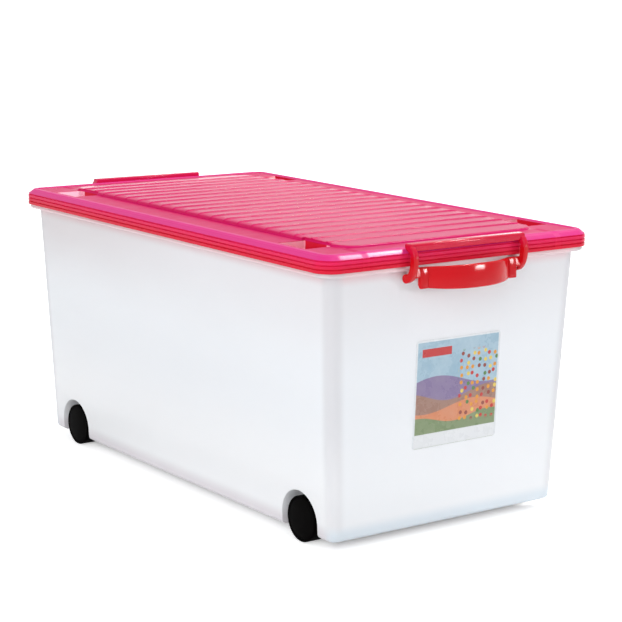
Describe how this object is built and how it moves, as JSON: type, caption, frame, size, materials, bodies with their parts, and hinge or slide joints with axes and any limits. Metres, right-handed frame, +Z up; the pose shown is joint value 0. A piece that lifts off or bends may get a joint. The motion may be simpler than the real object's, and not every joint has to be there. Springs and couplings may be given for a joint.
{
  "type": "wheeled storage box with clip-on lid",
  "caption": "Tapered plastic storage box on small wheels, with a ribbed lift-off lid held at each end by a hooked clip handle.",
  "frame": {"origin": "on the ground under the middle of the box", "axes": "+X towards the end that carries the label, +Y towards the left long side seen from behind that end, +Z up"},
  "size_m": [0.646, 0.338, 0.3005],
  "materials": {
    "tub_plastic": "milky translucent polypropylene, satin",
    "lid_plastic": "rose pink polypropylene, semi-gloss",
    "clip_plastic": "red polypropylene, glossy",
    "wheel_plastic": "black polypropylene tread, satin",
    "cap_plastic": "black polypropylene, low gloss",
    "axle_steel": "zinc-plated steel",
    "label_film": "printed glossy film"
  },
  "bodies": {
    "tub": {"tub": "tub_plastic", "label": "label_film", "axle_pin_front_left": "axle_steel", "axle_pin_front_right": "axle_steel", "axle_pin_rear_left": "axle_steel", "axle_pin_rear_right": "axle_steel"},
    "lid": {"lid": "lid_plastic"},
    "clip_front": {"clip_handle_front": "clip_plastic"},
    "clip_rear": {"clip_handle_rear": "clip_plastic"},
    "wheel_front_left": {"wheel_front_left": "wheel_plastic", "wheel_cap_front_left": "cap_plastic"},
    "wheel_front_right": {"wheel_front_right": "wheel_plastic", "wheel_cap_front_right": "cap_plastic"},
    "wheel_rear_left": {"wheel_rear_left": "wheel_plastic", "wheel_cap_rear_left": "cap_plastic"},
    "wheel_rear_right": {"wheel_rear_right": "wheel_plastic", "wheel_cap_rear_right": "cap_plastic"}
  },
  "joints": [
    {"name": "lid_lift", "type": "slide", "parent": "tub", "child": "lid", "axis": [0, 0, 1], "range_m": [0, 0.022]},
    {"name": "clip_front_swing", "type": "hinge", "parent": "tub", "child": "clip_front", "pos_m": [0.29602, 0, 0.266], "axis": [0, 1, 0], "range_deg": [0, 60]},
    {"name": "clip_rear_swing", "type": "hinge", "parent": "tub", "child": "clip_rear", "pos_m": [-0.29602, 0, 0.266], "axis": [0, -1, 0], "range_deg": [0, 60]},
    {"name": "wheel_front_left_spin", "type": "hinge", "parent": "tub", "child": "wheel_front_left", "pos_m": [0.226, 0.13203, 0.02325], "axis": [0, 1, 0], "continuous": true},
    {"name": "wheel_front_right_spin", "type": "hinge", "parent": "tub", "child": "wheel_front_right", "pos_m": [0.226, -0.13203, 0.02325], "axis": [0, 1, 0], "continuous": true},
    {"name": "wheel_rear_left_spin", "type": "hinge", "parent": "tub", "child": "wheel_rear_left", "pos_m": [-0.226, 0.13203, 0.02325], "axis": [0, 1, 0], "continuous": true},
    {"name": "wheel_rear_right_spin", "type": "hinge", "parent": "tub", "child": "wheel_rear_right", "pos_m": [-0.226, -0.13203, 0.02325], "axis": [0, 1, 0], "continuous": true}
  ],
  "couplings": [
    {"joint": "clip_front_swing", "follows": "lid_lift", "rad_per_m": 47.59},
    {"joint": "clip_rear_swing", "follows": "lid_lift", "rad_per_m": 47.59}
  ]
}
